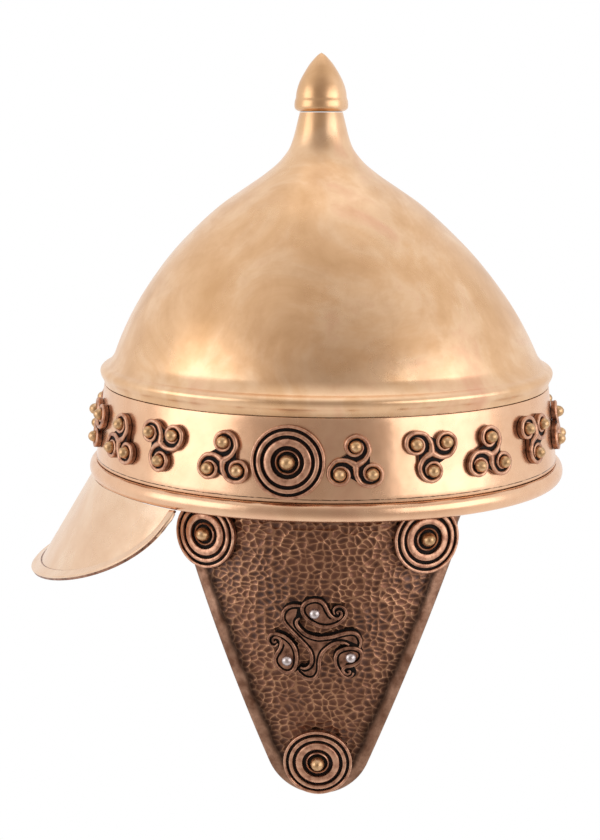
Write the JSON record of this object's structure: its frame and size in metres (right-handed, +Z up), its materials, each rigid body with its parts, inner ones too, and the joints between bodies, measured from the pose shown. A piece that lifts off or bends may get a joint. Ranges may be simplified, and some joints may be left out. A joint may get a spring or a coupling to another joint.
{
  "type": "helmet with hinged cheek guards",
  "caption": "Conical bronze helmet with a turned knob, ornamented brow band, sloping neck guard and hinged cheek guards.",
  "frame": {"origin": "centre of the head opening, in the plane of the rim's lower edge", "axes": "+Z up through the knob, -Y the way the wearer looks, -X the wearer's right"},
  "size_m": [0.2158, 0.2666, 0.3321],
  "materials": {
    "golden_bronze": "polished, lightly mottled",
    "rosy_bronze": "polished",
    "dark_copper": "hammered, patinated",
    "cast_copper": "cast, patina in the recesses",
    "aged_brass": "satin",
    "silver": "polished"
  },
  "bodies": {
    "shell": {"skull": "golden_bronze", "knob": "golden_bronze", "brow_band": "rosy_bronze", "rim_roll": "rosy_bronze", "neck_guard": "golden_bronze", "medallion_right": "cast_copper", "medallion_ball_right": "aged_brass", "medallion_left": "cast_copper", "medallion_ball_left": "aged_brass", "triskele_01": "cast_copper", "triskele_02": "cast_copper", "triskele_03": "cast_copper", "triskele_04": "cast_copper", "triskele_05": "cast_copper", "triskele_06": "cast_copper", "triskele_07": "cast_copper", "triskele_08": "cast_copper", "triskele_09": "cast_copper", "triskele_10": "cast_copper", "triskele_11": "cast_copper", "triskele_12": "cast_copper", "triskele_13": "cast_copper", "triskele_14": "cast_copper", "triskele_15": "cast_copper", "triskele_16": "cast_copper", "triskele_17": "cast_copper", "triskele_18": "cast_copper", "hinge_leaf_right": "rosy_bronze", "hinge_pin_right": "aged_brass", "hinge_leaf_left": "rosy_bronze", "hinge_pin_left": "aged_brass"},
    "cheek_guard_right": {"cheek_plate_right": "dark_copper", "cheek_disc_right_front": "cast_copper", "cheek_disc_ball_right_front": "aged_brass", "cheek_disc_right_back": "cast_copper", "cheek_disc_ball_right_back": "aged_brass", "cheek_disc_right_low": "cast_copper", "cheek_disc_ball_right_low": "aged_brass", "cheek_ornament_right": "dark_copper", "ornament_ball_right_1": "silver", "ornament_ball_right_2": "silver", "ornament_ball_right_3": "silver"},
    "cheek_guard_left": {"cheek_plate_left": "dark_copper", "cheek_disc_left_front": "cast_copper", "cheek_disc_ball_left_front": "aged_brass", "cheek_disc_left_back": "cast_copper", "cheek_disc_ball_left_back": "aged_brass", "cheek_disc_left_low": "cast_copper", "cheek_disc_ball_left_low": "aged_brass", "cheek_ornament_left": "dark_copper", "ornament_ball_left_1": "silver", "ornament_ball_left_2": "silver", "ornament_ball_left_3": "silver"}
  },
  "joints": [
    {"name": "cheek_hinge_right", "type": "hinge", "parent": "shell", "child": "cheek_guard_right", "pos_m": [-0.09127, -0.01211, 0.003], "axis": [-0.1045, 0.9945, 0], "range_deg": [-30, 28]},
    {"name": "cheek_hinge_left", "type": "hinge", "parent": "shell", "child": "cheek_guard_left", "pos_m": [0.09127, -0.01211, 0.003], "axis": [-0.1045, -0.9945, 0], "range_deg": [-30, 28]}
  ]
}
